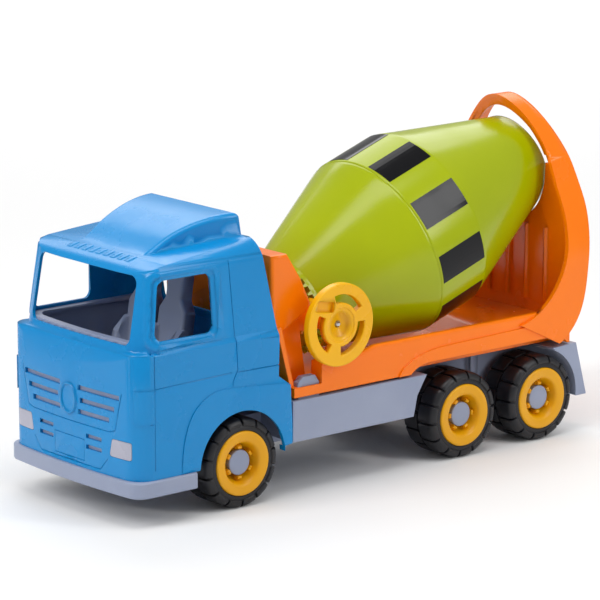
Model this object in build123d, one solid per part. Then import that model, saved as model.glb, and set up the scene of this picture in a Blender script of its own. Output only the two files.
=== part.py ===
from build123d import *
import math
import os

# Toy concrete mixer truck, all sizes in millimetres.
# The truck is drawn with its front towards +X, its left side towards +Y and +Z up, with
# X = 0 over the front axle and Z = 0 on the ground. It is moved as one to the export frame,
# whose origin is the middle of the base of the whole truck's box, when the files are written.

# Driving dimensions: wheels
TYRE_R = 37.0
TYRE_IN_Y, TYRE_OUT_Y = 47.0, 85.6
RIM_R = 28.0
RIM_LIP_R = 26.5
RIM_OUT_Y = 86.4
CAP_R = 10.4
CAP_OUT_Y = 81.2
AXLE_R = 2.3
RUNNING = 0.05
GAP = 0.4
AXLES = {"front": 0.0, "middle": -240.0, "rear": -330.0}

# Driving dimensions: chassis and bumper
SPINE_HALF_W = 42.0
SPINE_LOW, SPINE_TOP = 34.0, 62.0
SPINE_FRONT_X, SPINE_REAR_X = 96.0, -362.0
AXLE_BOSS_LOW, AXLE_BOSS_TOP = 31.0, 46.0
DECK_HALF_W = 83.3
DECK_FRONT_X = -54.0
DECK_LOW, DECK_TOP = 44.5, 78.5
CHASSIS_WALL = 3.0
ARCH_R = 57.0
BUMPER_FRONT_X = 111.7
BUMPER_HALF_W = 87.5
BUMPER_LOW, BUMPER_TOP = 25.1, 38.6
BUMPER_END_X = 47.8

# Driving dimensions: cab
CAB_HALF_W = 85.3
CAB_WALL = 2.6
CAB_LOW = BUMPER_TOP
ROOF_Z = 217.0
CAB_ARCH_R = 43.6
SILL_Z = 144.0
BELT_Z, BELT_STEP = 138.0, 2.0
SCREEN_X, SCREEN_LEAN = 102.0, 0.184
SEAM_W, SEAM_DEPTH = 0.9, 0.6
RAISED = 0.9
BADGE_FRONT_X = 110.6
ROOF_HALF_W = 79.0
SKIRT_LOW = 44.2
CAB_FLOOR_Z = 96.0
SPOILER_HALF_W = 57.0
SEAT_X = 24.0
SEAT_Y = 20.0
SEAT_LEAN = 9.0
GRILLE_PLATE = 2.0

# Driving dimensions: orange body
BODY_HALF_W = 81.3
BODY_LOW = 80.5
BODY_FLOOR = 84.0
BODY_FRONT_X = -57.0
LEDGE_TOP = 88.5
NOTCH_X = -86.0
RAIL_TOP = 111.5
RAIL_W = 5.0
BODY_REAR_X = -366.0
BULKHEAD_X = -370.0
HEAD_HALF_W = 70.0
NECK_HALF_W = 62.0
HOOD_HALF_W = 84.0
HOOD_TOP = 288.5
HOOD_WALL = 4.0
HOOD_LIP = 10.0

# Driving dimensions: drum, measured along its own tilted axis
DRUM_TILT = 19.8
DRUM_X, DRUM_Z = -115.8, 136.9
FRONT_R, BAND_R, NECK_R, MOUTH_R = 45.0, 82.0, 42.7, 37.5
BAND_START, BAND_END, NECK_END, MOUTH_END = 102.4, 154.8, 268.0, 276.0
DRUM_WALL = 2.2
SEAM_STEP = 1.2
STICKERS = 10
STICKER_ANGLE = 18.0

# Driving dimensions: hand drive
WHEEL_X, WHEEL_Z = -97.5, 137.4
HANDWHEEL_R = 34.5
HANDWHEEL_IN_Y, HANDWHEEL_OUT_Y = 86.2, 92.2
HANDWHEEL_SLOTS = [(75, 150), (180, 270), (304, 385)]
SHAFT_R = 3.0
PINION_TEETH, CROWN_TEETH = 12, 36
PINION_R = 14.0
PINION_IN_Y, PINION_OUT_Y = 40.0, 46.0
TOOTH_UP, TOOTH_DOWN = 1.9, 2.5
SPINDLE_R = 5.0
SPINDLE_START = -58.0
BOSS_START, BOSS_END = -54.5, -27.0

# Driving dimensions: screws
SCREW_R = 1.5
SCREW_HEAD_R = 3.2
CAB_SCREWS = [(60, -28), (60, 28)]
CAB_SCREW_END = 76.0

DRUM_AXIS = Plane(
    origin=(DRUM_X, 0, DRUM_Z),
    x_dir=(0, 1, 0),
    z_dir=(-math.cos(math.radians(DRUM_TILT)), 0, math.sin(math.radians(DRUM_TILT))),
)


def side_slab(outline, low_y, high_y):
    """A flat XZ outline given its thickness between two Y values."""
    return extrude(Pos(0, high_y, 0) * (Plane.XZ * outline), amount=high_y - low_y)


def front_slab(outline, low_x, high_x):
    """A flat YZ outline given its thickness between two X values."""
    return extrude(Pos(low_x, 0, 0) * (Plane.YZ * outline), amount=high_x - low_x)


def flat_slab(outline, low_z, high_z):
    """A flat XY outline given its thickness between two Z values."""
    return extrude(Pos(0, 0, low_z) * outline, amount=high_z - low_z)


def block(low, high):
    """A plain block between two corners."""
    size = [high[i] - low[i] for i in range(3)]
    middle = [(high[i] + low[i]) / 2 for i in range(3)]
    return Pos(*middle) * Box(*size)


def outline(*points, radius=0.0):
    """A closed outline through the points, its corners rounded when a radius is given."""
    shape = make_face(Polyline(*points, close=True))
    if radius:
        shape = fillet(shape.vertices(), radius)
    return shape


def cross_rod(x, z, radius, low_y, high_y):
    """A round bar along Y."""
    return side_slab(Pos(x, z) * Circle(radius), low_y, high_y)


def turned(points, y_sign, x):
    """A ring turned about a wheel's axle, from (radius, distance from the mid-plane) points."""
    section = make_face(Polyline(*[(r, 0, y) for r, y in points], close=True))
    ring = revolve(section, Axis.Z, 360)
    side = -90 if y_sign > 0 else 90
    return Pos(x, 0, TYRE_R) * Rot(side, 0, 0) * ring


def drum_turned(points):
    """A shape turned about the drum's axis, from (radius, distance along the axis) points."""
    section = make_face(Polyline(*[(r, 0, s) for r, s in points], close=True))
    return DRUM_AXIS * revolve(section, Axis.Z, 360)


def both_sides(shape):
    """The shape together with its mirror image on the truck's other side."""
    return shape + mirror(shape, Plane.XZ)


# ---------------------------------------------------------------- wheels and axles

def tyre(x, y_sign):
    """Black tyre with rounded shoulders, hollow where it seats on the rim."""
    shoulder = 4.0
    points = [
        (RIM_R, TYRE_IN_Y),
        (TYRE_R - shoulder, TYRE_IN_Y),
        (TYRE_R, TYRE_IN_Y + shoulder),
        (TYRE_R, TYRE_OUT_Y - shoulder),
        (TYRE_R - shoulder, TYRE_OUT_Y),
        (RIM_R, TYRE_OUT_Y),
    ]
    return turned(points, y_sign, x)


def rim(x, y_sign):
    """Yellow dished rim: barrel, sloping dish and a hub tube that turns on the axle."""
    hub_r = 8.0
    bore = AXLE_R + RUNNING
    barrel_in = RIM_R - 2.4
    hub_in_y = SPINE_HALF_W + GAP
    dish_y = 74.0
    points = [
        (bore, hub_in_y),
        (hub_r, hub_in_y),
        (hub_r, dish_y - 6.0),
        (barrel_in, dish_y - 3.0),
        (barrel_in, TYRE_IN_Y + 1.0),
        (RIM_R, TYRE_IN_Y + 1.0),
        (RIM_R, TYRE_OUT_Y - 0.6),
        (RIM_LIP_R, RIM_OUT_Y),
        (RIM_LIP_R - 4.0, RIM_OUT_Y - 0.8),
        (CAP_R + 2.0, dish_y),
        (CAP_R + 2.0, dish_y - 2.0),
        (bore, dish_y - 2.0),
    ]
    return turned(points, y_sign, x)


def hub_cap(x, y_sign):
    """Grey cap pushed on the axle's end; it keeps the wheel on."""
    socket_end = CAP_OUT_Y - 2.5
    foot_y = 72.0 + GAP
    points = [
        (AXLE_R, foot_y),
        (CAP_R - 3.5, foot_y),
        (CAP_R - 0.6, 75.0),
        (CAP_R, CAP_OUT_Y - 0.8),
        (CAP_R - 0.8, CAP_OUT_Y),
        (0.0, CAP_OUT_Y),
        (0.0, socket_end),
        (AXLE_R, socket_end),
    ]
    return turned(points, y_sign, x)


def axle(x):
    """Steel axle, fixed in the chassis, with a wheel turning on each end."""
    end = CAP_OUT_Y - 2.5
    return cross_rod(x, TYRE_R, AXLE_R, -end, end)


# ---------------------------------------------------------------- chassis and bumper

def channel(rear_x, front_x, top, wall):
    """A length of inverted channel, open below, or its inside when a wall is given."""
    half_w = SPINE_HALF_W - wall
    low = SPINE_LOW if wall == 0 else SPINE_LOW - 1
    return block((rear_x + wall, -half_w, low), (front_x - wall, half_w, top - wall))


def spine():
    """Inverted channel that runs the length of the truck, low under the cab, and carries the axles."""
    low_part = channel(DECK_FRONT_X - 6, SPINE_FRONT_X, SPINE_TOP, 0)
    tall_part = channel(SPINE_REAR_X, DECK_FRONT_X, DECK_TOP, 0)
    shape = low_part + tall_part
    shape -= channel(DECK_FRONT_X - 12, SPINE_FRONT_X, SPINE_TOP, CHASSIS_WALL)
    shape -= channel(SPINE_REAR_X, DECK_FRONT_X, DECK_TOP, CHASSIS_WALL)
    for x in AXLES.values():
        shape += block((x - 6, -SPINE_HALF_W, AXLE_BOSS_LOW), (x + 6, SPINE_HALF_W, AXLE_BOSS_TOP))
        shape -= cross_rod(x, TYRE_R, AXLE_R + RUNNING, -SPINE_HALF_W - 1, SPINE_HALF_W + 1)
    return shape


def side_deck():
    """Wide deck between the front and rear wheels, whose walls are the side skirts."""
    rear_low = AXLES["middle"] + 55.4
    rear_x = AXLES["middle"] + 41.0
    outer = outline(
        (DECK_FRONT_X, DECK_LOW), (DECK_FRONT_X, DECK_TOP), (rear_x, DECK_TOP),
        (rear_low - 4, 62.0), (rear_low, DECK_LOW),
    )
    inner = outline(
        (DECK_FRONT_X - CHASSIS_WALL, DECK_LOW - 1),
        (DECK_FRONT_X - CHASSIS_WALL, DECK_TOP - CHASSIS_WALL),
        (rear_x + 5, DECK_TOP - CHASSIS_WALL),
        (rear_low + CHASSIS_WALL, DECK_LOW - 1),
    )
    box = side_slab(outer, SPINE_HALF_W - 1, DECK_HALF_W)
    pocket = side_slab(inner, SPINE_HALF_W, DECK_HALF_W - CHASSIS_WALL)
    return both_sides(box - pocket)


def rear_deck():
    """Plate over the rear wheels, with a web between them and the curved tail mudguards."""
    plate_low = 75.0
    plate_front = AXLES["middle"] + 45.0
    edge_w = SPINE_HALF_W + 6
    shape = both_sides(block((-366.0, SPINE_HALF_W - 1, plate_low), (plate_front, edge_w, DECK_TOP)))
    web_x = (AXLES["middle"] + AXLES["rear"]) / 2
    web = block((web_x - 4, SPINE_HALF_W - 1, 50.0), (web_x + 4, edge_w, plate_low + 1))
    return shape + both_sides(web) + both_sides(tail_mudguard())


def tail_mudguard():
    """Grey mudguard behind the last wheel, its front face curved round the tyre."""
    tail = outline((-345.0, 78.5), (-372.0, 79.5), (-385.0, 32.0), (-373.0, 32.0), (-345.0, 60.0))
    guard = side_slab(tail, SPINE_HALF_W - 1, DECK_HALF_W)
    return guard - cross_rod(AXLES["rear"], TYRE_R, 42.5, 0, DECK_HALF_W + 1)


def snap_tab():
    """Catch that stands up through the body's ledge and holds it down."""
    tab = outline((-63.0, 70.0), (-63.0, 92.0), (-68.0, 96.3), (-80.5, 96.3), (-85.0, 90.0), (-85.0, 70.0))
    return side_slab(tab, 73.0, 79.0)


def chassis():
    """Grey base moulding: spine, side deck, rear deck, mudguards and catches."""
    shape = spine() + side_deck() + rear_deck() + both_sides(snap_tab())
    for x, y in screw_places():
        shape -= flat_slab(Pos(x, y) * Circle(SCREW_R + RUNNING), SPINE_TOP - 6, DECK_TOP + 1)
    return shape


def bumper_plan(inset):
    """The bumper's outline from above: gently bowed front and rounded corners."""
    half_w = BUMPER_HALF_W - inset
    front = BUMPER_FRONT_X - inset
    corner_x, corner_r = front - 5.0, 13.0
    edge = Polyline((corner_x, half_w), (-60, half_w), (-60, -half_w), (corner_x, -half_w))
    bow = ThreePointArc((corner_x, -half_w), (front, 0), (corner_x, half_w))
    plan = make_face(edge + bow)
    corners = plan.vertices().filter_by(lambda v: v.X > 0)
    return fillet(corners, corner_r - inset if inset < 10 else 4.0)


def front_bumper():
    """Grey wrap-round bumper with a thin shelf that the cab stands on."""
    bar = flat_slab(bumper_plan(0), BUMPER_LOW, BUMPER_TOP)
    bar = fillet(bar.edges().filter_by(lambda e: abs((e @ 0.5).Z - 31) > 5 and (e @ 0.5).X > -40), 1.8)
    bar -= flat_slab(bumper_plan(9.0), BUMPER_LOW + 2.5, BUMPER_TOP + 1)
    bar -= block((-61, -100, BUMPER_LOW - 1), (BUMPER_END_X, 100, BUMPER_TOP + 1))
    well = block((40, -BUMPER_HALF_W + 9, BUMPER_LOW - 1), (96.4, BUMPER_HALF_W - 9, BUMPER_TOP))
    return bar - well


# ---------------------------------------------------------------- cab

def cab_plan(front_x, half_w, bow, corner_r):
    """The cab from above: a gently bowed front between two round corners."""
    edge_x = front_x - bow
    edge = Polyline((edge_x, half_w), (-60, half_w), (-60, -half_w), (edge_x, -half_w))
    front = ThreePointArc((edge_x, -half_w), (front_x, 0), (edge_x, half_w))
    plan = make_face(edge + front)
    return fillet(plan.vertices().filter_by(lambda v: v.X > 0), corner_r)


def cab_form(inset):
    """The cab's outer form, or its inner form when an inset is given."""
    low = CAB_LOW if inset == 0 else CAB_LOW - 10
    split_z = BELT_Z + 1 - max(inset, 0)
    side = outline(
        (112 - inset, low), (112 - inset, 112.0), (105.5 - inset, 137.0), (90.2 - inset, 202.6 - inset),
        (71.0 - inset, 207.9 - inset), (-22.0 + inset, ROOF_Z - inset), (-25.0 + inset, 205.0),
        (-38.5 + inset, 135.0), (-37.5 + inset, 103.0), (-50.0 + inset, 94.0 - inset), (-51.9 + inset, 47.0),
        (-48.0 + inset, SKIRT_LOW), (-43.0 + inset, SKIRT_LOW), (-43.0 + inset, low),
    )
    brow = side.vertices().filter_by(lambda v: v.X > 60 and v.Y > 190)
    side = fillet(brow, 15.0 - inset)
    half_w = CAB_HALF_W - inset
    roof_w = ROOF_HALF_W - inset
    front = outline(
        (-half_w, low - 1), (half_w, low - 1), (half_w, BELT_Z), (half_w - BELT_STEP, BELT_Z + 4),
        (roof_w, ROOF_Z + 1), (-roof_w, ROOF_Z + 1), (-half_w + BELT_STEP, BELT_Z + 4), (-half_w, BELT_Z),
    )
    top = front.vertices().filter_by(lambda v: v.Y > ROOF_Z)
    front = fillet(top, 19.0 - inset)
    shape = side_slab(side, -half_w, half_w) & front_slab(front, -60, 120)
    lower = flat_slab(cab_plan(109.0 - inset, half_w, 5.0, 17.0 - inset), low - 1, split_z)
    lean = Vector(-SCREEN_LEAN, 0, 1)
    glass_x = SCREEN_X - inset + SCREEN_LEAN * (BELT_Z - split_z)
    upper = Pos(0, 0, split_z) * cab_plan(glass_x, half_w, 5.0, 27.0 - inset)
    upper = extrude(upper, amount=(ROOF_Z + 10 - split_z) * lean.length, dir=lean)
    return (shape & lower) + (shape & upper)


def spoiler(drop):
    """Air deflector on the roof, or its hollow inside when it is lowered by the wall."""
    floor = 205.0 if drop == 0 else 200.0
    half_w = SPOILER_HALF_W - drop
    top = Spline(
        (66.0, 208.0 - drop), (57.0, 212.6 - drop), (43.0, 221.0 - drop), (33.0, 225.6 - drop),
        (20.0, 230.0 - drop), (0.0, 234.0 - drop), (-19.0 + drop, 235.0 - drop),
    )
    rest = Polyline(top @ 1, (-21.8 + drop, 217.5 - drop), (-21.8 + drop, floor), (66.0, floor), top @ 0)
    shape = side_slab(make_face(top + rest), -half_w, half_w)
    flank = Spline((-24, half_w), (-2, half_w - 2.5), (20, half_w - 7), (43, half_w - 11), (68, half_w - 13))
    other = Spline((68, -half_w + 13), (43, -half_w + 11), (20, -half_w + 7), (-2, -half_w + 2.5), (-24, -half_w))
    plan = make_face(flank + Line(flank @ 1, other @ 0) + other + Line(other @ 1, flank @ 0))
    shape &= flat_slab(plan, floor - 1, 240)
    if drop == 0:
        crest = shape.edges().filter_by(lambda e: (e @ 0.5).Z > 216 and e.length > 60)
        shape = fillet(crest, 4.5)
    return shape


def slots(rows):
    """Pairs of horizontal slots, each row given as its height and inner and outer Y."""
    shape = None
    for z, low_y, high_y, height in rows:
        slot = block((90, low_y, z - height / 2), (120, high_y, z + height / 2))
        shape = both_sides(slot) if shape is None else shape + both_sides(slot)
    return shape


GRILLE_ROWS = [(103.4, 12.0, 63.0, 4.2), (93.3, 14.6, 57.0, 4.2), (83.7, 12.0, 51.0, 4.2)]
AIR_ROWS = [(65.7, 22.0, 41.5, 3.6), (57.0, 22.0, 41.5, 3.6)]


def headlight_outline(grow=0.0):
    """Front view of one headlight."""
    return outline(
        (51.0 - grow, 54.8 - grow), (76.0 + grow, 54.8 - grow),
        (76.0 + grow, 69.6 + grow), (54.0 - grow, 69.6 + grow), radius=2.0,
    )


def cab_openings():
    """Everything that is cut out of the cab: windows, wheel arches, grille slots."""
    screen = outline((-65, 144), (65, 144), (64, 199), (-64, 199), radius=7.0)
    side = outline((27, 148.6), (85.0, 148.6), (79.5, 196.5), (28.7, 196.5), radius=6.0)
    rear = outline((-62, 142), (62, 142), (60, 186), (-60, 186), radius=6.0)
    cut = front_slab(screen, 60, 125)
    cut += side_slab(side, -100, 100)
    cut += front_slab(rear, -45, -15)
    cut += cross_rod(0, TYRE_R, CAB_ARCH_R, -100, 100)
    cut += block((-CAB_ARCH_R, -100, 20), (CAB_ARCH_R, 100, TYRE_R))
    cut += block((-60, -79, 30), (-30, 79, 92))
    cut += slots(GRILLE_ROWS) + slots(AIR_ROWS)
    return cut + both_sides(front_slab(headlight_outline(), 90, 125))


def cab_seams():
    """Shut lines of the doors and corners on one side, as thin lines seen from the side."""
    lines = [
        Polyline((9.7, 204), (4.8, 115), (9.6, 106), (9.6, 102)),
        Polyline((88.0, 140), (87.8, 46)),
        Polyline((87.6, 112), (11.0, 113.5)),
        Polyline((4.8, 113), (-40, 112.5)),
        Polyline((92.0, 84.3), (87.8, 84.0)),
    ]
    faces = trace(lines[0], SEAM_W)
    for line in lines[1:]:
        faces += trace(line, SEAM_W)
    return faces


def window_frame():
    """The moulded frame round a side window, seen from the side."""
    outer = outline((17.0, 142.0), (91.5, 142.0), (86.0, 203.0), (19.0, 203.5), radius=7.0)
    inner = outline((23.0, 146.0), (88.0, 146.0), (82.5, 199.5), (24.5, 199.5), radius=6.0)
    return outer - inner


def fender_outline():
    """Flare over the front wheel, seen from the side; it runs back to the skirt's end."""
    upper = Spline((61.3, 39.5), (57.6, 70.0), (46.8, 90.0), (30.5, 99.6), (11.0, 101.0),
                   tangents=[(0, 1), (-1, -0.02)])
    rest = Polyline(upper @ 1, (-43, 96.4), (-49, 93.6), (-51.0, 60), (-51, 45), (-43.5, 45), (-43.5, 39.5), upper @ 0)
    return make_face(upper + rest)


def face_seams():
    """Fine lines of the front, seen from the front: grille surround and valance."""
    grille_edge = Polyline((-66, 108), (-58, 76.5), (-51, 74.5), (51, 74.5), (58, 76.5), (66, 108))
    valance = Polyline((-49, 52), (-40, 42), (40, 42), (49, 52))
    plate = Rectangle(40, 18) - Rectangle(38.6, 16.6)
    return trace(grille_edge, SEAM_W) + trace(valance, SEAM_W) + Pos(0, 53.5) * plate


def roof_ribs():
    """Row of short ribs moulded on the brow above the windscreen."""
    ribs = None
    for index in range(9):
        y = (index - 4) * 9.5
        rib = block((64, y - 2.6, 190), (86, y + 2.6, 220))
        ribs = rib if ribs is None else ribs + rib
    return ribs & (cab_form(-0.5) - cab_form(0.5)) & block((70, -60, 202), (79, 60, 220))


def cab_shell():
    """Blue cab moulding, open below and behind, with its roof spoiler and front badge."""
    outer = cab_form(0)
    shape = outer + spoiler(0) - cab_form(CAB_WALL) - spoiler(CAB_WALL)
    raised = cab_form(-RAISED) - outer
    flare = side_slab(fender_outline(), -100, 100) & block((-60, -100, 39), (70, 100, 110))
    corner = block((88.6, -100, 84.6), (120, 100, 111.4)) - block((80, -78, 80), (130, 78, 120))
    shape += raised & (flare + corner + side_slab(window_frame(), -100, 100))
    skin = outer - cab_form(SEAM_DEPTH)
    cut = side_slab(cab_seams(), -100, 100) - block((80, -76, 30), (120, 76, 150))
    shape -= skin & (cut + front_slab(face_seams(), 95, 120))
    dish = front_slab(Pos(0, 92.7) * (Ellipse(10.5, 13.0) - Ellipse(8.6, 11.1)), 107.4, BADGE_FRONT_X)
    dish += front_slab(Pos(0, 92.7) * Ellipse(9, 11.5), 107.4, BADGE_FRONT_X - 1.2)
    return shape + dish + roof_ribs() - cab_openings()


def headlight(y_sign):
    """Grey lens block let into the cab's front corner."""
    body = front_slab(headlight_outline(-0.3), 88, 125) & cab_form(0)
    body -= cab_form(5.0)
    return body if y_sign > 0 else mirror(body, Plane.XZ)


def grille_insert():
    """Grey plate behind the grille slots."""
    plate = front_slab(outline((-66, 78), (66, 78), (66, 108), (-66, 108), radius=3.0), 90, 125)
    lower = front_slab(outline((-45, 52), (45, 52), (45, 70), (-45, 70), radius=3.0), 90, 125)
    return (plate + lower) & (cab_form(CAB_WALL) - cab_form(CAB_WALL + GRILLE_PLATE))


def seat(y):
    """One bucket seat: leaning back with a rounded headrest, cushion and side bolsters."""
    half_w = 17.0
    back = outline(
        (-half_w, 0), (half_w, 0), (half_w, 56), (10, 66), (10, 93), (-10, 93), (-10, 66), (-half_w, 56), radius=5.0)
    shell = front_slab(back, -6, 6)
    shell = fillet(shell.edges().filter_by(lambda e: (e @ 0.5).X > 5.9), 3.0)
    wing_face = outline((0, 2), (20, 4), (16, 30), (0, 50), radius=4.0)
    shell += side_slab(wing_face, -half_w - 2, -half_w + 5) + side_slab(wing_face, half_w - 5, half_w + 2)
    cushion = flat_slab(Pos(22, 0) * RectangleRounded(48, 2 * half_w, 6), 0, 15)
    cushion = fillet(cushion.edges().filter_by(lambda e: (e @ 0.5).Z > 14.9), 4.0)
    return Pos(SEAT_X, y, CAB_FLOOR_Z + 2.5) * (Rot(0, -SEAT_LEAN, 0) * shell + cushion)


def cab_interior():
    """Grey inner tub: floor, walls, two seats and the strips under the windows."""
    inside = CAB_WALL + GRILLE_PLATE + 0.4
    tub = cab_form(inside)
    floor = block((-40, -90, CAB_FLOOR_Z), (110, 90, CAB_FLOOR_Z + 3))
    walls = (tub - cab_form(inside + 2.2)) & block((-40, -90, 97), (110, 90, SILL_Z + 2.0))
    strip = cab_form(CAB_WALL + 0.3) - cab_form(inside + 4.5)
    strip &= block((-24, -90, SILL_Z - 2.0), (110, 90, SILL_Z + 2.0))
    shape = (floor & tub) + walls + strip
    shape -= block((-45, -62, 99), (-25, 62, 150))
    for y in (-SEAT_Y, SEAT_Y):
        shape += seat(y)
    for x, y in CAB_SCREWS:
        shape += flat_slab(Pos(x, y) * Circle(4), SPINE_TOP, CAB_FLOOR_Z + 1)
    for x, y in CAB_SCREWS:
        shape -= flat_slab(Pos(x, y) * Circle(SCREW_R + RUNNING), SPINE_TOP - 1, CAB_SCREW_END + 2)
    return shape


# ---------------------------------------------------------------- orange body

def arch_opening():
    """The opening over the two rear wheels, seen from the side."""
    front = Spline((-179, 76), (-186, 83.5), (-204, 88.3), tangents=[(-0.4, 1), (-1, 0)])
    rear = Spline((-340, 88.3), (-354, 86.0), (-364, 79.0), tangents=[(-1, 0), (-0.6, -1)])
    return make_face(front + Line(front @ 1, rear @ 0) + rear + Line(rear @ 1, (-364, 76)) + Line((-364, 76), front @ 0))


def arch_flare():
    """The raised band round that opening; it dies out at the rail's rear end."""
    front = Spline((-169, 80.5), (-181, 91.0), (-204, 98.0), (-226, 99.6), tangents=[(-0.5, 1), (-1, 0.03)])
    rear = Spline((-327, 101.6), (-348, 98.0), (-361, 86.0), tangents=[(-1, 0), (-0.4, -1)])
    foot = Polyline(rear @ 1, (-361, 80.5), front @ 0)
    return make_face(front + Line(front @ 1, rear @ 0) + rear + foot)


def body_base():
    """Orange tray: floor, side rails with wheel arches, and the front ledge."""
    rails = outline(
        (NOTCH_X, BODY_LOW), (NOTCH_X, 106.0), (-88, 108.0), (-130, RAIL_TOP - 4), (-145, RAIL_TOP),
        (-335, RAIL_TOP), (BODY_REAR_X, 96.0), (BODY_REAR_X, BODY_LOW),
    )
    rail = side_slab(rails, BODY_HALF_W - RAIL_W, BODY_HALF_W)
    rail = fillet(rail.edges().filter_by(lambda e: (e @ 0.5).Z > 105 and (e @ 0.5).Y > BODY_HALF_W - 0.1), 2.5)
    flare = side_slab(arch_flare(), BODY_HALF_W - 1, BODY_HALF_W + 1.4)
    rail += flare - side_slab(hood_side(), BODY_HALF_W, BODY_HALF_W + 2)
    arch = side_slab(arch_opening(), BODY_HALF_W - RAIL_W - 10, BODY_HALF_W + 3)
    inner_w = BODY_HALF_W - RAIL_W + 0.5
    ledge = block((NOTCH_X, -BODY_HALF_W, BODY_LOW), (BODY_FRONT_X, BODY_HALF_W, LEDGE_TOP))
    ledge -= both_sides(block((-85.4, 72.6, 78), (-62.6, 79.4, 90)))
    floor = side_slab(
        outline((NOTCH_X, BODY_LOW), (NOTCH_X, BODY_FLOOR), (-288, BODY_FLOOR), (-312, 99),
                (BULKHEAD_X, 99), (BULKHEAD_X, 95), (-314, 95), (-291, BODY_LOW)), -inner_w, inner_w)
    floor += block((BODY_REAR_X, -inner_w, BODY_LOW), (-288, inner_w, BODY_FLOOR))
    arch_roof = side_slab(
        outline((-178, BODY_LOW), (-198, 91.5), (-347, 91.5), (BODY_REAR_X, BODY_LOW),
                (-362, BODY_LOW), (-345, 88.0), (-200, 88.0), (-184, BODY_LOW)), 66, inner_w)
    notch_wall = block((NOTCH_X - 4, -inner_w, BODY_LOW), (NOTCH_X, -NECK_HALF_W - 6, 106))
    floor -= both_sides(side_slab(outline((-184, 78), (-200, 88), (-345, 88), (-362, 78)), 66, inner_w + 1))
    shape = floor + ledge + both_sides(rail - arch) + both_sides(arch_roof) + both_sides(notch_wall)
    for x, y in body_screw_places():
        shape -= flat_slab(Pos(x, y) * Circle(SCREW_R + RUNNING), 70, BODY_FLOOR + 1)
    return shape


def front_pedestal():
    """Orange post behind the cab: head block, neck, spindle boss and shaft bracket."""
    head = outline((-43, 134), (-42.5, 198), (-60, 197.5), (-74, 176), (-84.5, 154), (-80, 147), (-56, 134))
    shape = side_slab(head, -HEAD_HALF_W, HEAD_HALF_W)
    shape = fillet(shape.edges().filter_by(lambda e: abs((e @ 0.5).Y) > HEAD_HALF_W - 1 and (e @ 0.5).Z > 140), 3.0)
    shape -= side_slab(outline((-46, 130), (-46, 193), (-57, 192), (-72, 160), (-56, 146), (-52, 130)),
                       -HEAD_HALF_W + 4, HEAD_HALF_W - 4)
    plate = outline((-43, 140), (-57, LEDGE_TOP), (-61, LEDGE_TOP), (-48, 140))
    shape += side_slab(plate, -HEAD_HALF_W - 6, HEAD_HALF_W + 6)
    neck = outline((-52, 140), (-60, LEDGE_TOP), (-85, LEDGE_TOP), (-77, 140))
    shape += side_slab(neck, -NECK_HALF_W, NECK_HALF_W)
    shape -= side_slab(outline((-53, 146), (-62, LEDGE_TOP - 1), (-82, LEDGE_TOP - 1), (-73, 146)),
                       -NECK_HALF_W + 3, NECK_HALF_W - 3)
    shape += drum_turned([(0, BOSS_START), (11, BOSS_START), (11, BOSS_END), (0, BOSS_END)])
    shape -= drum_turned([(0, BOSS_START - 1), (7, BOSS_START - 1), (7, -20), (0, -20)])
    web = outline((-60, 128), (-60, 150), (-80, 152), (WHEEL_X - 8, 146), (WHEEL_X - 8, 128))
    shape += side_slab(web, 50, 56)
    shape += cross_rod(WHEEL_X, WHEEL_Z, 8.0, 49, 80)
    return shape - cross_rod(WHEEL_X, WHEEL_Z, 5.0, 45, 85)


def hood_section(inset):
    """Rear view of the hood: straight legs that close in a round arch."""
    low = BODY_LOW if inset == 0 else BODY_LOW - 10
    half_w, arch_z = HOOD_HALF_W - inset, HOOD_TOP - 50.0
    side = [(half_w, 150), (81.5 - inset, 175), (74.5 - inset, 200), (67.0 - inset, 217), (58.0 - inset, arch_z)]
    left = Spline(*side, tangents=[(0, 1), (-0.5, 1)])
    right = Spline(*[(-y, z) for y, z in side], tangents=[(0, 1), (0.5, 1)])
    crown = Spline(left @ 1, (50.5 - inset * 0.9, arch_z + 12), (0, HOOD_TOP - inset),
                   (-50.5 + inset * 0.9, arch_z + 12), right @ 1)
    base = Polyline(left @ 0, (half_w, low), (-half_w, low), right @ 0)
    return make_face(left + crown + right + base)


def hood_side(low=BODY_LOW):
    """Side view of the hood band, bulging to the rear round the drum's mouth."""
    front = Spline((-349, HOOD_TOP + 3), (-358, 270), (-361.5, 240), (-362, 208), (-357, 148), (-336, 118), (-306, 104))
    rear = Spline((-352, low + 1), (-376, 106), (-385, 150), (-388, 212), (-384, 240), (-368, HOOD_TOP + 3))
    return make_face(front + Line(front @ 1, rear @ 0) + rear + Line(rear @ 1, front @ 0))


def rear_hood():
    """Orange arch round the drum's mouth, with an in-turned lip along its front."""
    band = front_slab(hood_section(0) - hood_section(HOOD_WALL), -400, -290)
    shape = band & side_slab(hood_side(), -100, 100)
    ring = front_slab(hood_section(0) - hood_section(HOOD_LIP), -400, -290)
    lip = side_slab(outline((-352.5, HOOD_TOP), (-361.5, 262), (-365, 240), (-368, 240), (-364.5, 262),
                            (-355.5, HOOD_TOP)), -100, 100)
    shape += ring & lip
    return shape - block((-400, -BODY_HALF_W, 70), (-290, BODY_HALF_W, RAIL_TOP))


def rear_bulkhead():
    """Orange ribbed wall across the hood, cut out round the drum's neck, which it steadies."""
    wall = front_slab(hood_section(HOOD_WALL), BULKHEAD_X - 4, BULKHEAD_X)
    wall &= block((-380, -100, 95), (-360, 100, 232))
    for y in (-48, -24, 0, 24, 48):
        wall += block((BULKHEAD_X - 1, y - 1.5, 110), (BULKHEAD_X + 4, y + 1.5, 176))
    clear = 1.0
    wide, narrow = NECK_R + clear + 24, NECK_R + clear
    neck = [(0, 198), (wide, 198), (narrow, NECK_END), (narrow, 310), (0, 310)]
    return wall - drum_turned(neck)


# ---------------------------------------------------------------- drum

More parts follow.
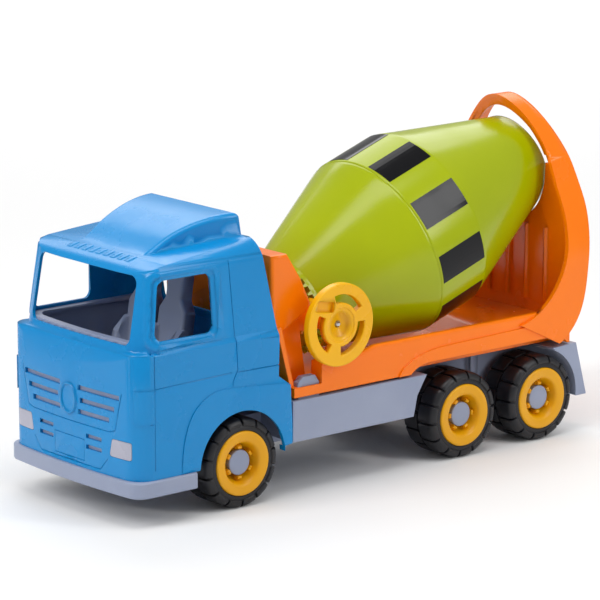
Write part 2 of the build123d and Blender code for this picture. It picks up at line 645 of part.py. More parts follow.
def drum_front_shell():
    """Front cone of the drum, closed by an end wall with the spindle's seat."""
    slope = (BAND_R - FRONT_R) / BAND_START
    wall = DRUM_WALL
    lip_r = BAND_R - SEAM_STEP
    return drum_turned([
        (SPINDLE_R, 3.5), (FRONT_R - 0.5, 3.5), (lip_r, BAND_START - SEAM_STEP / slope),
        (lip_r, BAND_START), (lip_r - wall, BAND_START), (lip_r - wall - 0.3, BAND_START - 4),
        (FRONT_R - wall - 0.5, 3.5 + wall), (SPINDLE_R, 3.5 + wall),
    ])


def drum_rear_shell():
    """Band and rear cone of the drum, open at the mouth with a rolled edge."""
    wall = DRUM_WALL
    return drum_turned([
        (BAND_R - 1.0, BAND_START), (BAND_R, BAND_START + 1.5), (BAND_R, BAND_END - 2),
        (BAND_R - 0.7, BAND_END + 1), (NECK_R, NECK_END), (NECK_R - 1.2, NECK_END + 5),
        (MOUTH_R, MOUTH_END), (MOUTH_R - 2.5, MOUTH_END - 1), (NECK_R - wall - 1, NECK_END),
        (BAND_R - wall, BAND_END), (BAND_R - wall, BAND_START),
    ])


def drum_stickers():
    """Black glossy labels spaced round the band, each a thin curved skin."""
    inner_r, outer_r = BAND_R + 0.02, BAND_R + 0.3
    start, end = BAND_START + 1.8, BAND_END - 2.2
    ring = drum_turned([(inner_r, start), (outer_r, start), (outer_r, end), (inner_r, end)])
    shape = []
    for index in range(STICKERS):
        start = STICKER_PHASE + index * 360 / STICKERS
        wedge_face = outline(
            (0, 0),
            *[(120 * math.cos(math.radians(start + a)), 120 * math.sin(math.radians(start + a)))
              for a in (-STICKER_ANGLE / 2, 0, STICKER_ANGLE / 2)],
        )
        wedge = DRUM_AXIS * flat_slab(wedge_face, 90, 170)
        shape.append(ring & wedge)
    return Compound(children=[solid for piece in shape for solid in piece.solids()])


def mixing_fins():
    """Three blades inside the drum that carry the load round, joined by a thin ring."""
    ring_r = BAND_R - DRUM_WALL - 0.3
    shape = drum_turned([
        (ring_r - 2, 112), (ring_r, 112), (ring_r, 146), (ring_r - 2, 146),
    ])
    for index in range(3):
        blade = DRUM_AXIS * (Rot(0, 0, index * 120) * block((ring_r - 22, -1.2, 112), (ring_r - 1, 1.2, 146)))
        shape += blade
    return shape


def crown_gear():
    """Ring of teeth on the drum's front end, driven by the hand wheel's pinion."""
    root = CROWN_PITCH + TOOTH_DOWN
    tip = CROWN_PITCH - TOOTH_UP
    ring = drum_turned([(SPINDLE_R, root), (FRONT_R - 0.5, root), (FRONT_R - 0.5, 3.5), (SPINDLE_R, 3.5)])
    step = 360 / CROWN_TEETH
    half_root, half_tip = 1.75, 0.75
    low_r, high_r = 39.5, FRONT_R
    tooth = outline((-half_root, root + 0.5), (half_root, root + 0.5), (half_tip, tip), (-half_tip, tip))
    for index in range(CROWN_TEETH):
        start = Plane(origin=(low_r, 0, 0), x_dir=(0, 1, 0), z_dir=(1, 0, 0))
        bar = extrude(start * tooth, amount=high_r - low_r)
        ring += DRUM_AXIS * (Rot(0, 0, MESH_ANGLE + (index + 0.5) * step) * bar)
    return ring


def drum_spindle():
    """Steel spindle that carries the drum in the post."""
    return drum_turned([(0, SPINDLE_START), (SPINDLE_R, SPINDLE_START), (SPINDLE_R, 9), (0, 9)])


def spindle_nut():
    """Push-on cap on the drum end of the spindle, inside the drum."""
    low = 3.5 + DRUM_WALL
    return drum_turned([
        (SPINDLE_R, low), (12, low), (12, low + 2), (8, low + 6), (0, low + 6), (0, 9), (SPINDLE_R, 9),
    ])


def spindle_clip():
    """Spring clip in front of the boss; it stops the spindle from pulling out."""
    front, back = SPINDLE_START + 0.8, BOSS_START - GAP
    return drum_turned([(SPINDLE_R, front), (8.5, front), (8.5, back), (SPINDLE_R, back)])


def drum_bush():
    """Plain bearing for the spindle, pressed in the post's boss."""
    bore = SPINDLE_R + RUNNING
    flange = BOSS_END + 2
    return drum_turned([
        (bore, BOSS_START), (7, BOSS_START), (7, BOSS_END), (9.5, BOSS_END), (9.5, flange), (bore, flange),
    ])


# ---------------------------------------------------------------- hand drive

def arc_slot(low_r, high_r, start, end):
    """A curved slot between two radii and two angles."""
    def at(radius, angle):
        return radius * math.cos(math.radians(angle)), radius * math.sin(math.radians(angle))
    middle = (start + end) / 2
    edge = ThreePointArc(at(high_r, start), at(high_r, middle), at(high_r, end))
    edge += Line(at(high_r, end), at(low_r, end))
    edge += ThreePointArc(at(low_r, end), at(low_r, middle), at(low_r, start))
    edge += Line(at(low_r, start), at(high_r, start))
    return make_face(edge)


def handwheel():
    """Yellow hand wheel: a disc with three curved slots and a cup hub."""
    face = Circle(HANDWHEEL_R) - Circle(14.0)
    for start, end in HANDWHEEL_SLOTS:
        face -= arc_slot(18.2, 25.2, start, end)
    rim_slab = side_slab(Pos(WHEEL_X, WHEEL_Z) * face, HANDWHEEL_IN_Y, HANDWHEEL_OUT_Y)
    rim_slab = fillet(rim_slab.edges().filter_by(lambda e: (e @ 0.5).Y > HANDWHEEL_OUT_Y - 0.1), 1.2)
    cup = side_slab(Pos(WHEEL_X, WHEEL_Z) * (Circle(14.2) - Circle(10.5)), HANDWHEEL_IN_Y, HANDWHEEL_OUT_Y - 1)
    base = side_slab(Pos(WHEEL_X, WHEEL_Z) * (Circle(12) - Circle(SHAFT_R)), 81.0, HANDWHEEL_IN_Y + 1)
    return rim_slab + cup + base


def handwheel_shaft():
    """Steel shaft from the hand wheel to the pinion."""
    return cross_rod(WHEEL_X, WHEEL_Z, SHAFT_R, PINION_IN_Y - 2, HANDWHEEL_IN_Y + 1)


def shaft_bush():
    """Plain bearing for the hand wheel's shaft, pressed in the bracket."""
    sleeve = Circle(5.0) - Circle(SHAFT_R + RUNNING)
    return side_slab(Pos(WHEEL_X, WHEEL_Z) * sleeve, 49, 80)


def drive_pinion():
    """Small gear on the shaft, in mesh with the crown gear."""
    root_r, tip_r = PINION_R - TOOTH_DOWN, PINION_R + TOOTH_UP
    half_root, half_tip = 1.75, 0.75
    face = Circle(root_r) - Circle(SHAFT_R)
    tooth = outline((root_r - 0.6, -half_root), (tip_r, -half_tip), (tip_r, half_tip), (root_r - 0.6, half_root))
    for index in range(PINION_TEETH):
        face += Rot(0, 0, PINION_PHASE + index * 360 / PINION_TEETH) * tooth
    return side_slab(Pos(WHEEL_X, WHEEL_Z) * face, PINION_IN_Y, PINION_OUT_Y)


# ---------------------------------------------------------------- fasteners


def body_screw_places():
    """Where screws hold the orange body to the chassis."""
    return [(x, y) for x in (-100, -190, -300) for y in (-28, 28)]


def screw_places():
    """Every screw that goes up through the chassis, cab screws first."""
    return CAB_SCREWS + body_screw_places()


def case_screws():
    """Pan-head screws, put in from below."""
    shape = []
    for x, y in screw_places():
        end = CAB_SCREW_END if x > 0 else BODY_FLOOR - 0.5
        seat_z = (SPINE_TOP if x > 0 else DECK_TOP) - CHASSIS_WALL
        head = flat_slab(Circle(SCREW_HEAD_R), seat_z - 2, seat_z)
        shank = flat_slab(Circle(SCREW_R), seat_z - 0.5, end)
        shape.append(Pos(x, y, 0) * (head + shank))
    return Compound(children=[solid for piece in shape for solid in piece.solids()])


# ---------------------------------------------------------------- gear mesh and export

SHAFT_AHEAD = DRUM_AXIS.to_local_coords(Vector(WHEEL_X, 0, WHEEL_Z))
CROWN_PITCH = SHAFT_AHEAD.Z + PINION_R
MESH_ANGLE = math.degrees(math.asin(SHAFT_AHEAD.Y / (PINION_R * CROWN_TEETH / PINION_TEETH)))
PINION_PHASE = 180.0 - DRUM_TILT
STICKER_PHASE = 6.0


def all_parts():
    """Every node of the truck, by name."""
    parts = {
        "chassis": chassis(),
        "front_bumper": front_bumper(),
        "cab_shell": cab_shell(),
        "cab_interior": cab_interior(),
        "grille_insert": grille_insert(),
        "headlight_left": headlight(1),
        "headlight_right": headlight(-1),
        "body_base": body_base(),
        "front_pedestal": front_pedestal(),
        "rear_hood": rear_hood(),
        "rear_bulkhead": rear_bulkhead(),
        "drum_front_shell": drum_front_shell(),
        "drum_rear_shell": drum_rear_shell(),
        "drum_stickers": drum_stickers(),
        "mixing_fins": mixing_fins(),
        "crown_gear": crown_gear(),
        "drum_spindle": drum_spindle(),
        "spindle_nut": spindle_nut(),
        "spindle_clip": spindle_clip(),
        "drum_bush": drum_bush(),
        "handwheel": handwheel(),
        "handwheel_shaft": handwheel_shaft(),
        "shaft_bush": shaft_bush(),
        "drive_pinion": drive_pinion(),
        "case_screws": case_screws(),
    }
    for name, x in AXLES.items():
        parts[f"{name}_axle"] = axle(x)
        for side, y_sign in (("left", 1), ("right", -1)):
            parts[f"{name}_{side}_tyre"] = tyre(x, y_sign)
            parts[f"{name}_{side}_rim"] = rim(x, y_sign)
            parts[f"{name}_{side}_hub_cap"] = hub_cap(x, y_sign)
    return parts


def write_parts():
    """Moves the whole truck to the export frame and writes one file for each node."""
    parts = all_parts()
    boxes = [shape.bounding_box() for shape in parts.values()]
    middle_x = (min(b.min.X for b in boxes) + max(b.max.X for b in boxes)) / 2
    middle_y = (min(b.min.Y for b in boxes) + max(b.max.Y for b in boxes)) / 2
    print("truck frame origin in the export frame", round(-middle_x, 3), round(-middle_y, 3))
    os.makedirs("parts", exist_ok=True)
    for name, shape in parts.items():
        export_step(Pos(-middle_x, -middle_y, 0) * shape, f"parts/{name}.step")


write_parts()
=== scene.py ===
import math

import bmesh
import bpy
from mathutils import Matrix, Vector


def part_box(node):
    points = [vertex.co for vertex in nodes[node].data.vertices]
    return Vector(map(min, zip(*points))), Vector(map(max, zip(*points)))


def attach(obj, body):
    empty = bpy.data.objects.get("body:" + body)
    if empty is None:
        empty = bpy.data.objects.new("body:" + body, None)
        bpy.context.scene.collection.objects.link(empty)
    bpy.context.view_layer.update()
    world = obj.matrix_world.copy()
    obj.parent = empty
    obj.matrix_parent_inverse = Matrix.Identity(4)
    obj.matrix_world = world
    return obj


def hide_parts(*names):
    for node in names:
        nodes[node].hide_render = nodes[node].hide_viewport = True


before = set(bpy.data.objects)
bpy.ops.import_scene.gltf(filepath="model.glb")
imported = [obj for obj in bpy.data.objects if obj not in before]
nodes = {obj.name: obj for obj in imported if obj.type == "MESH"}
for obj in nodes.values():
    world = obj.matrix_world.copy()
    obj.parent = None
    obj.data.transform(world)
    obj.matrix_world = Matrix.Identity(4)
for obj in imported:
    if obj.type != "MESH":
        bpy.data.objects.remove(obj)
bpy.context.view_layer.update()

# ------------------------------------------------------------------ chassis
# One satin grey polypropylene moulding, open below: spine, skirts, rear deck and tail mudguards.
# Everything else is screwed, snapped or pressed on it.

mm = 0.001
WELD = 0.002 * mm
MOULDING_GRAIN = 1100.0
GRAIN_DEPTH = 0.15 * mm


def moulded_plastic(name, colour, deep, roughness, grain=0.05, soft=0.04, edge=0.35):
    """Coloured polypropylene: faint flow mottling, moulding grain, rubbed patches, eased edges."""
    material = bpy.data.materials.new(name)
    material.use_nodes = True
    tree = material.node_tree
    shader = tree.nodes["Principled BSDF"]
    shader.inputs["Specular IOR Level"].default_value = 0.36
    shader.inputs["Subsurface Weight"].default_value = soft
    shader.inputs["Subsurface Radius"].default_value = (0.004, 0.003, 0.002)
    place = tree.nodes.new("ShaderNodeTexCoord")

    def noise(scale, detail):
        node = tree.nodes.new("ShaderNodeTexNoise")
        node.inputs["Scale"].default_value = scale
        node.inputs["Detail"].default_value = detail
        tree.links.new(place.outputs["Object"], node.inputs["Vector"])
        return node.outputs["Fac"]

    def ramp(source, low, high, first, second):
        node = tree.nodes.new("ShaderNodeValToRGB")
        node.color_ramp.elements[0].position = low
        node.color_ramp.elements[1].position = high
        node.color_ramp.elements[0].color = first
        node.color_ramp.elements[1].color = second
        tree.links.new(source, node.inputs["Fac"])
        return node.outputs["Color"]

    mottle = ramp(noise(11.0, 3.0), 0.38, 0.62, (*deep, 1), (*colour, 1))
    tree.links.new(mottle, shader.inputs["Base Color"])
    smooth = (roughness - 0.03,) * 3 + (1,)
    rubbed = (roughness + 0.05,) * 3 + (1,)
    handled = ramp(noise(26.0, 5.0), 0.46, 0.70, smooth, rubbed)
    tree.links.new(handled, shader.inputs["Roughness"])
    eased = tree.nodes.new("ShaderNodeBevel")
    eased.samples = 6
    eased.inputs["Radius"].default_value = edge * mm
    bump = tree.nodes.new("ShaderNodeBump")
    bump.inputs["Strength"].default_value = grain
    bump.inputs["Distance"].default_value = GRAIN_DEPTH
    tree.links.new(noise(MOULDING_GRAIN, 2.0), bump.inputs["Height"])
    tree.links.new(eased.outputs["Normal"], bump.inputs["Normal"])
    tree.links.new(bump.outputs["Normal"], shader.inputs["Normal"])
    return material


def new_piece(name, mesh, body, slot, *stands_for):
    """Puts a finished mesh in the scene as a piece that rides on a body."""
    piece = bpy.data.objects.new(name, mesh)
    bpy.context.scene.collection.objects.link(piece)
    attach(piece, body)
    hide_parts(*stands_for)
    return piece


def with_area_normals(mesh):
    """The same mesh with vertex normals led by its large faces, so flat panels stay flat."""
    holder = bpy.data.objects.new("normals_holder", mesh)
    bpy.context.scene.collection.objects.link(holder)
    weigh = holder.modifiers.new("weigh", "WEIGHTED_NORMAL")
    weigh.mode = "FACE_AREA_WITH_ANGLE"
    weigh.weight = 90
    weigh.keep_sharp = True
    graph = bpy.context.evaluated_depsgraph_get()
    made = bpy.data.meshes.new_from_object(holder.evaluated_get(graph))
    bpy.data.objects.remove(holder)
    return made


def welded(node):
    """A copy of a node's mesh with its loose triangles joined into one skin."""
    mesh = bpy.data.meshes.new(node + "_moulding")
    skin = bmesh.new()
    skin.from_mesh(nodes[node].data)
    bmesh.ops.remove_doubles(skin, verts=skin.verts, dist=WELD)
    skin.to_mesh(mesh)
    skin.free()
    return mesh


def smoothed(mesh, material, crease):
    """The mesh in one material, smooth except at edges that turn more than crease degrees."""
    mesh.materials.clear()
    mesh.materials.append(material)
    mesh.shade_smooth()
    mesh.set_sharp_from_angle(angle=math.radians(crease))
    return with_area_normals(mesh)


def moulding(node, body, slot, material, crease=32.0):
    """A piece with the node's own shape, welded and smoothed."""
    mesh = smoothed(welded(node), material, crease)
    return new_piece(node + "_moulding", mesh, body, slot, node)


satin_grey = moulded_plastic("satin_grey", (0.31, 0.35, 0.47), (0.27, 0.31, 0.43), 0.42)
moulding("chassis", "truck", "grey_plastic", satin_grey, crease=20.0)

# ------------------------------------------------------------------ axles
# Three drawn steel wires pushed through the chassis bosses; the hub caps grip their ends.


def drawn_steel(name, roughness):
    """Bright drawn wire with fine lengthwise lines."""
    material = bpy.data.materials.new(name)
    material.use_nodes = True
    tree = material.node_tree
    shader = tree.nodes["Principled BSDF"]
    shader.inputs["Metallic"].default_value = 1.0
    shader.inputs["Roughness"].default_value = roughness
    place = tree.nodes.new("ShaderNodeTexCoord")
    lines = tree.nodes.new("ShaderNodeTexNoise")
    lines.inputs["Scale"].default_value = 240.0
    lines.inputs["Detail"].default_value = 4.0
    tone = tree.nodes.new("ShaderNodeValToRGB")
    tone.color_ramp.elements[0].color = (0.42, 0.42, 0.43, 1)
    tone.color_ramp.elements[1].color = (0.66, 0.66, 0.67, 1)
    tree.links.new(place.outputs["Object"], lines.inputs["Vector"])
    tree.links.new(lines.outputs["Fac"], tone.inputs["Fac"])
    tree.links.new(tone.outputs["Color"], shader.inputs["Base Color"])
    return material


wire = drawn_steel("drawn_steel", 0.28)
for place in ("front", "middle", "rear"):
    moulding(place + "_axle", "truck", "steel", wire)

# ------------------------------------------------------------------ rims
# Yellow dished mouldings: barrel for the tyre, broad lip, cone to the hub and six snap fingers
# that stand round the hub cap. Each turns freely on its axle.

END_SHRINK = 0.9
FINGERS = 6
FIRST_FINGER = 30.0
RIM_STAGGER = 14.0


def turned_shell(name, profile, material, segments=96):
    """A closed ring turned about the local Z axis from (radius, height) points in millimetres."""
    mesh = bpy.data.meshes.new(name)
    shell = bmesh.new()
    rings = []
    for index in range(segments):
        angle = 2 * math.pi * index / segments
        rings.append([shell.verts.new((r * mm * math.cos(angle), r * mm * math.sin(angle), z * mm))
                      for r, z in profile])
    for index in range(segments):
        here, there = rings[index], rings[(index + 1) % segments]
        for k in range(len(profile)):
            n = (k + 1) % len(profile)
            shell.faces.new((here[k], there[k], there[n], here[n]))
    bmesh.ops.recalc_face_normals(shell, faces=shell.faces)
    shell.to_mesh(mesh)
    shell.free()
    mesh.materials.append(material)
    return mesh


def swept_block(name, section, half_angle, ease, material, steps=6):
    """A (radius, height) section in millimetres swept through an angle about Z, with eased ends."""
    mesh = bpy.data.meshes.new(name)
    block = bmesh.new()
    middle = sum(r for r, z in section) / len(section), sum(z for r, z in section) / len(section)
    full = half_angle - ease
    turns = [-half_angle, -full, full, half_angle]
    turns[2:2] = [-full + 2 * full * k / steps for k in range(1, steps)]
    rings = []
    for turn in turns:
        shrink = END_SHRINK if abs(turn) == half_angle else 1.0
        angle = math.radians(turn)
        ring = []
        for r, z in section:
            radius = (middle[0] + (r - middle[0]) * shrink) * mm
            height = (middle[1] + (z - middle[1]) * shrink) * mm
            point = (radius * math.cos(angle), radius * math.sin(angle), height)
            ring.append(block.verts.new(point))
        rings.append(ring)
    for here, there in zip(rings, rings[1:]):
        for k in range(len(section)):
            n = (k + 1) % len(section)
            block.faces.new((here[k], there[k], there[n], here[n]))
    block.faces.new(rings[0])
    block.faces.new(list(reversed(rings[-1])))
    bmesh.ops.recalc_face_normals(block, faces=block.faces)
    block.to_mesh(mesh)
    block.free()
    mesh.materials.append(material)
    return mesh


def ring_tree():
    """Geometry Nodes: copies of the incoming block turned evenly about Z, realized and painted."""
    tree = bpy.data.node_groups.new("ring_of_blocks", "GeometryNodeTree")
    sockets = (("Block", "NodeSocketGeometry"), ("Count", "NodeSocketInt"),
               ("Phase", "NodeSocketFloat"), ("Material", "NodeSocketMaterial"))
    for label, kind in sockets:
        tree.interface.new_socket(label, in_out="INPUT", socket_type=kind)
    tree.interface.new_socket("Ring", in_out="OUTPUT", socket_type="NodeSocketGeometry")
    given = tree.nodes.new("NodeGroupInput")
    made = tree.nodes.new("NodeGroupOutput")
    points = tree.nodes.new("GeometryNodePoints")
    tree.links.new(given.outputs["Count"], points.inputs["Count"])
    step = tree.nodes.new("ShaderNodeMath")
    step.operation = "DIVIDE"
    step.inputs[0].default_value = 2 * math.pi
    tree.links.new(given.outputs["Count"], step.inputs[1])
    turn = tree.nodes.new("ShaderNodeMath")
    turn.operation = "MULTIPLY_ADD"
    index = tree.nodes.new("GeometryNodeInputIndex")
    tree.links.new(index.outputs["Index"], turn.inputs[0])
    tree.links.new(step.outputs["Value"], turn.inputs[1])
    tree.links.new(given.outputs["Phase"], turn.inputs[2])
    axis = tree.nodes.new("ShaderNodeCombineXYZ")
    tree.links.new(turn.outputs["Value"], axis.inputs["Z"])
    rotation = tree.nodes.new("FunctionNodeEulerToRotation")
    tree.links.new(axis.outputs["Vector"], rotation.inputs["Euler"])
    copies = tree.nodes.new("GeometryNodeInstanceOnPoints")
    tree.links.new(points.outputs["Points"], copies.inputs["Points"])
    tree.links.new(given.outputs["Block"], copies.inputs["Instance"])
    tree.links.new(rotation.outputs["Rotation"], copies.inputs["Rotation"])
    real = tree.nodes.new("GeometryNodeRealizeInstances")
    tree.links.new(copies.outputs["Instances"], real.inputs["Geometry"])
    paint = tree.nodes.new("GeometryNodeSetMaterial")
    tree.links.new(real.outputs["Geometry"], paint.inputs["Geometry"])
    tree.links.new(given.outputs["Material"], paint.inputs["Material"])
    tree.links.new(paint.outputs["Geometry"], made.inputs["Ring"])
    return tree


blocks_in_a_ring = ring_tree()


def ring_of(block, count, phase, material):
    """The ring's plain mesh, made once from one block."""
    holder = bpy.data.objects.new("ring_holder", block)
    bpy.context.scene.collection.objects.link(holder)
    modifier = holder.modifiers.new("ring", "NODES")
    modifier.node_group = blocks_in_a_ring
    values = {"Count": count, "Phase": math.radians(phase), "Material": material}
    for item in blocks_in_a_ring.interface.items_tree:
        if item.in_out == "INPUT" and item.name in values:
            modifier[item.identifier] = values[item.name]
    graph = bpy.context.evaluated_depsgraph_get()
    mesh = bpy.data.meshes.new_from_object(holder.evaluated_get(graph))
    bpy.data.objects.remove(holder)
    return mesh


def joined(name, meshes, place, material, crease=40.0):
    """Several meshes as one, put in place in the truck's frame."""
    whole = bmesh.new()
    for mesh in meshes:
        whole.from_mesh(mesh)
    bmesh.ops.transform(whole, matrix=place, verts=whole.verts)
    made = bpy.data.meshes.new(name)
    whole.to_mesh(made)
    whole.free()
    for face in made.polygons:
        face.material_index = 0
    made.materials.append(material)
    made.shade_smooth()
    made.set_sharp_from_angle(angle=math.radians(crease))
    return made


def wheel_place(tyre_node, side, turn):
    """A wheel's outer face: local Z points out of the truck, and turn is its spin in degrees."""
    low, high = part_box(tyre_node)
    outward = 1 if side == "left" else -1
    outer_y = high.y if side == "left" else low.y
    centre = Vector(((low.x + high.x) / 2, outer_y, (low.z + high.z) / 2))
    columns = Matrix(((1, 0, 0), (0, 0, outward), (0, -outward, 0))).to_4x4()
    return Matrix.Translation(centre) @ columns @ Matrix.Rotation(math.radians(turn), 4, "Z")


rim_yellow = moulded_plastic("rim_yellow", (0.80, 0.38, 0.0), (0.74, 0.34, 0.0), 0.36)
rim_profile = [
    (2.35, -43.2), (8.0, -43.2), (8.0, -17.6), (25.6, -14.6), (25.6, -37.6), (28.0, -37.6),
    (28.0, -3.4), (27.0, -2.4), (26.6, -1.2), (26.5, -0.2), (26.0, 0.35), (25.2, 0.6),
    (24.2, 0.6), (19.4, 0.0), (18.2, -0.4), (17.3, -1.3), (16.6, -3.0), (15.0, -7.6),
    (14.3, -9.4), (13.2, -10.6), (12.6, -11.4), (12.3, -13.6), (2.35, -13.6),
]
finger_section = [
    (11.3, -10.8), (11.1, -5.0), (11.5, -3.9), (12.4, -3.5), (13.4, -3.9), (14.2, -5.2),
    (15.3, -8.4), (14.2, -10.8),
]
rim_body = turned_shell("rim_body", rim_profile, rim_yellow)
finger = swept_block("snap_finger", finger_section, 9.0, 2.2, rim_yellow, steps=3)
fingers = ring_of(finger, FINGERS, FIRST_FINGER, rim_yellow)
wheels = [(place, side) for place in ("front", "middle", "rear") for side in ("left", "right")]
for number, (place, side) in enumerate(wheels):
    name = f"{place}_{side}"
    spot = wheel_place(name + "_tyre", side, RIM_STAGGER * number)
    mesh = joined(name + "_rim_moulding", [rim_body, fingers], spot, rim_yellow)
    new_piece(name + "_rim_moulding", mesh, name + "_wheel", "yellow_plastic", name + "_rim")

# ------------------------------------------------------------------ tyres
# Black semi-rigid PVC: a carcass with two staggered rows of heavy lugs that wrap over the
# shoulders, with deep cuts between them. Stretched over the rim's barrel.


def tyre_black():
    """Black vinyl with a faint random mottle in its tone."""
    material = moulded_plastic("tyre_black", (0.013, 0.013, 0.017), (0.007, 0.007, 0.009), 0.42,
                               grain=0.25, soft=0.0, edge=0.6)
    material.node_tree.nodes["Principled BSDF"].inputs["Specular IOR Level"].default_value = 0.42
    return material


black_vinyl = tyre_black()
carcass_profile = [
    (28.0, -3.6), (27.0, -2.6), (26.75, -1.2), (27.2, -0.6), (28.4, -0.6), (29.6, -1.0),
    (30.6, -1.3), (32.4, -2.0), (33.8, -3.4), (34.5, -5.6), (34.6, -8.0), (34.6, -30.6),
    (34.5, -33.2), (33.8, -35.4), (32.4, -36.8), (30.6, -37.4), (29.4, -37.9), (28.4, -37.7),
    (28.0, -37.0),
]
lug_section = [
    (30.3, -1.3), (30.9, -0.35), (32.2, -0.1), (33.8, -0.5), (35.4, -1.6), (36.4, -3.1),
    (36.9, -5.0), (37.0, -7.5), (37.0, -17.0), (36.6, -18.2), (35.0, -18.4), (34.6, -8.0),
    (33.6, -4.0), (32.0, -2.4),
]
LUGS = 14
LUG_GAP = 1.6
LUG_EASE = 1.1
TYRE_WIDTH = 38.6 * mm
TYRE_STAGGER = 9.0
pitch = 360 / LUGS
carcass = turned_shell("tyre_carcass", carcass_profile, black_vinyl)
lug = swept_block("tread_lug", lug_section, pitch / 2 - LUG_GAP, LUG_EASE, black_vinyl)
outer_row = ring_of(lug, LUGS, 0.0, black_vinyl)
inner_row = ring_of(lug, LUGS, pitch / 2, black_vinyl)
inner_row.transform(Matrix.Translation((0, 0, -TYRE_WIDTH)) @ Matrix.Rotation(math.pi, 4, "X"))
for number, (place, side) in enumerate(wheels):
    name = f"{place}_{side}"
    spot = wheel_place(name + "_tyre", side, TYRE_STAGGER * number)
    parts = [carcass, outer_row, inner_row]
    mesh = joined(name + "_tyre_moulding", parts, spot, black_vinyl, crease=30.0)
    new_piece(name + "_tyre_moulding", mesh, name + "_wheel", "tyre_black", name + "_tyre")

# ------------------------------------------------------------------ hub caps
# Plain grey discs of the chassis's plastic, pushed on the axle's ends. They hold the wheels on and
# don't turn with them.

cap_profile = [
    (2.32, -13.1), (6.9, -13.1), (9.6, -10.6), (10.1, -8.0), (10.4, -5.3), (10.3, -4.9),
    (9.9, -4.6), (9.2, -4.45), (0.01, -4.40), (0.01, -6.9), (2.32, -6.9),
]
cap_body = turned_shell("hub_cap_body", cap_profile, satin_grey)
for place, side in wheels:
    name = f"{place}_{side}"
    spot = wheel_place(name + "_tyre", side, 0.0)
    mesh = joined(name + "_hub_cap_moulding", [cap_body], spot, satin_grey)
    new_piece(name + "_hub_cap_moulding", mesh, "truck", "grey_plastic", name + "_hub_cap")

# ------------------------------------------------------------------ orange body
# Glossy orange mouldings: the tray with its wheel-arch flares, the post that carries the drum's
# spindle, the arch round the drum's mouth and the ribbed wall inside it. Screwed from below.

gloss_orange = moulded_plastic("gloss_orange", (1.0, 0.205, 0.0), (0.96, 0.19, 0.0), 0.25, edge=0.8)
moulding("body_base", "truck", "orange_plastic", gloss_orange, crease=14.0)
moulding("front_pedestal", "truck", "orange_plastic", gloss_orange, crease=20.0)
moulding("rear_hood", "truck", "orange_plastic", gloss_orange, crease=40.0)
moulding("rear_bulkhead", "truck", "orange_plastic", gloss_orange)

# ------------------------------------------------------------------ drum
# Two glossy lime shells welded at the band, with three mixing blades inside and a crown gear on
# the front end. The steel spindle runs in a nylon bush and is held by a nut and a spring clip.

gloss_lime = moulded_plastic("gloss_lime", (0.36, 0.43, 0.0), (0.335, 0.405, 0.0), 0.20)
for node in ("drum_front_shell", "drum_rear_shell", "mixing_fins", "crown_gear"):
    moulding(node, "drum", "green_plastic", gloss_lime, crease=25.0)
for node in ("drum_spindle", "spindle_clip"):
    moulding(node, "drum", "steel", wire)
nylon = moulded_plastic("natural_nylon", (0.72, 0.71, 0.66), (0.66, 0.65, 0.60), 0.45)
moulding("spindle_nut", "drum", "white_plastic", nylon)
moulding("drum_bush", "truck", "white_plastic", nylon)

# ------------------------------------------------------------------ drum labels
# Ten glossy black vinyl labels, stuck round the drum's band by hand.
# They are plain, and thin enough to follow the curve.

label_film = moulded_plastic("black_label_film", (0.006, 0.006, 0.008), (0.004, 0.004, 0.005), 0.10,
                             grain=0.01, soft=0.0, edge=0.1)
label_film.node_tree.nodes["Principled BSDF"].inputs["Specular IOR Level"].default_value = 0.22
moulding("drum_stickers", "drum", "black_label", label_film)

# ------------------------------------------------------------------ hand drive
# Yellow hand wheel with three curved slots and a shallow notch, pressed on a steel shaft.
# A pinion on the shaft's inner end turns the drum through its crown gear.

gloss_yellow = moulded_plastic("gloss_yellow", (0.90, 0.46, 0.0), (0.85, 0.42, 0.0), 0.30, edge=0.7)
NOTCH_CENTRE = (57.3 * mm, 89.5 * mm, 154.6 * mm)
NOTCH_SIZE = (18.0 * mm, 6.4 * mm, 8.5 * mm)
NOTCH_TURN = -9.0


def notched(mesh):
    """The hand wheel's mesh with the notch cut into its outer face."""
    notch = bpy.data.meshes.new("finger_notch")
    block = bmesh.new()
    turn = Matrix.Rotation(math.radians(NOTCH_TURN), 4, "Y")
    shape = Matrix.Translation(NOTCH_CENTRE) @ turn @ Matrix.Diagonal((*NOTCH_SIZE, 1))
    bmesh.ops.create_cube(block, size=1.0, matrix=shape)
    block.to_mesh(notch)
    block.free()
    cutter = bpy.data.objects.new("finger_notch", notch)
    blank = bpy.data.objects.new("handwheel_blank", mesh)
    for thing in (cutter, blank):
        bpy.context.scene.collection.objects.link(thing)
    carve = blank.modifiers.new("notch", "BOOLEAN")
    carve.object = cutter
    carve.solver = "EXACT"
    graph = bpy.context.evaluated_depsgraph_get()
    made = bpy.data.meshes.new_from_object(blank.evaluated_get(graph))
    for thing in (cutter, blank):
        bpy.data.objects.remove(thing)
    return made


hand_mesh = smoothed(notched(welded("handwheel")), gloss_yellow, 32.0)
new_piece("handwheel_moulding", hand_mesh, "hand_drive", "yellow_plastic", "handwheel")
moulding("drive_pinion", "hand_drive", "yellow_plastic", gloss_yellow)
moulding("handwheel_shaft", "hand_drive", "steel", wire)
moulding("shaft_bush", "truck", "white_plastic", nylon)

# ------------------------------------------------------------------ cab interior
# One grey moulding: floor pan, door cards, the sill strip under the windows and two bucket seats.
# Two screws run up into its bosses from inside the chassis.

moulding("cab_interior", "truck", "grey_plastic", satin_grey)

# ------------------------------------------------------------------ cab
# Glossy blue shell with open windows, moulded door lines, wheel flares and roof deflector.
# The grille plates behind its slots and the lamp blocks are grey and snap in from inside.

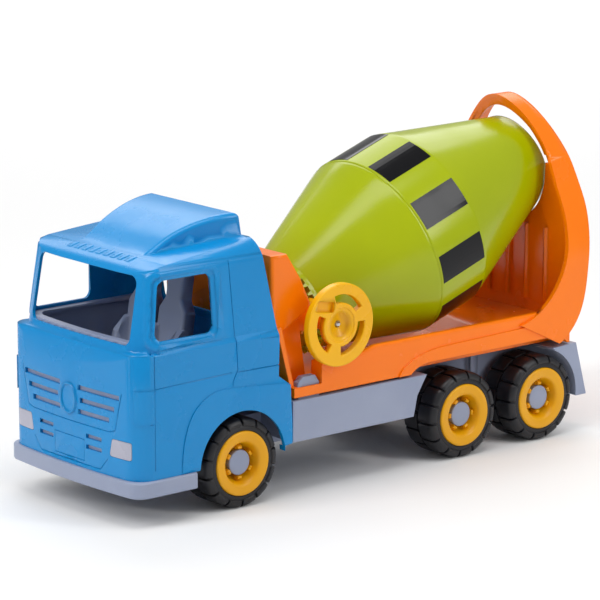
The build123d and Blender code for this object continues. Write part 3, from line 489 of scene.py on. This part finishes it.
gloss_blue = moulded_plastic("gloss_blue", (0.0, 0.245, 0.59), (0.0, 0.23, 0.56), 0.26)
moulding("cab_shell", "truck", "blue_plastic", gloss_blue, crease=28.0)
moulding("grille_insert", "truck", "grey_plastic", satin_grey)
lamp_grey = moulded_plastic("lamp_grey", (0.42, 0.42, 0.50), (0.38, 0.38, 0.46), 0.3)
for side in ("left", "right"):
    moulding("headlight_" + side, "truck", "lamp_grey", lamp_grey)

# ------------------------------------------------------------------ front bumper
# Wrap-round bumper moulded in the same grey plastic as the chassis.
# The cab stands on its inner shelf.

moulding("front_bumper", "truck", "grey_plastic", satin_grey)

# ------------------------------------------------------------------ case screws
# Eight steel pan-head screws, driven up from inside the chassis.
# Two run into the cab's grey inner moulding and six into the orange body.

moulding("case_screws", "truck", "steel", wire)

# ------------------------------------------------------------------ studio
# Pale seamless paper floor, three large soft lights and one behind for the backdrop.
# The camera looks at the truck's front left corner from a little above.

floor_mesh = bpy.data.meshes.new("studio_floor")
floor_mesh.from_pydata([(-4, -4, 0), (4, -4, 0), (4, 4, 0), (-4, 4, 0)], [], [(0, 1, 2, 3)])
studio_floor = bpy.data.objects.new("studio_floor", floor_mesh)
bpy.context.scene.collection.objects.link(studio_floor)
paper = bpy.data.materials.new("studio_paper")
paper.use_nodes = True
paper.node_tree.nodes["Principled BSDF"].inputs["Base Color"].default_value = (0.86, 0.86, 0.86, 1)
paper.node_tree.nodes["Principled BSDF"].inputs["Roughness"].default_value = 0.95
floor_mesh.materials.append(paper)

world = bpy.data.worlds.new("studio_air")
bpy.context.scene.world = world
world.use_nodes = True
world.node_tree.nodes["Background"].inputs["Color"].default_value = (1, 1, 1, 1)
world.node_tree.nodes["Background"].inputs["Strength"].default_value = 0.40
bpy.context.scene.view_settings.view_transform = "Standard"

VIEW_AZIMUTH = 140.18
VIEW_ELEVATION = 12.73
VIEW_DISTANCE = 2.9323
BACKDROP_BEHIND = 3.6
BACKDROP_ABOVE = 2.4
aim = Vector((0.007666, -0.00235, 0.1375))


def away(azimuth, elevation):
    """Unit vector from the object towards a viewer at that azimuth and elevation, in degrees."""
    a, e = math.radians(azimuth), math.radians(elevation)
    return Vector((math.sin(a) * math.cos(e), -math.cos(a) * math.cos(e), math.sin(e)))


def put(thing, name, azimuth, elevation, distance):
    """Stands a light or the camera round the object, facing it."""
    stand = bpy.data.objects.new(name, thing)
    back = away(azimuth, elevation)
    stand.location = aim + back * distance
    stand.rotation_mode = "QUATERNION"
    stand.rotation_quaternion = (-back).to_track_quat("-Z", "Y")
    bpy.context.scene.collection.objects.link(stand)
    return stand


def softbox(name, azimuth, elevation, distance, size, power):
    """One rectangular soft light."""
    light = bpy.data.lights.new(name, "AREA")
    light.shape = "RECTANGLE"
    light.size, light.size_y = size
    light.energy = power
    put(light, name, azimuth, elevation, distance)


softbox("front_softbox", 85, 36, 1.7, (0.4, 1.1), 12)
softbox("side_softbox", 205, 30, 1.7, (0.35, 1.2), 8)
softbox("top_softbox", 150, 74, 1.7, (1.2, 0.7), 11)
backdrop = bpy.data.lights.new("backdrop_light", "AREA")
backdrop.size = 4.0
backdrop.energy = 110
backdrop_stand = bpy.data.objects.new("backdrop_light", backdrop)
behind = away(VIEW_AZIMUTH, 0) * BACKDROP_BEHIND
backdrop_stand.location = aim - behind + Vector((0, 0, BACKDROP_ABOVE))
bpy.context.scene.collection.objects.link(backdrop_stand)

lens = bpy.data.cameras.new("camera")
lens.sensor_width = 36.0
lens.lens = 210.5
bpy.context.scene.camera = put(lens, "camera", VIEW_AZIMUTH, VIEW_ELEVATION, VIEW_DISTANCE)
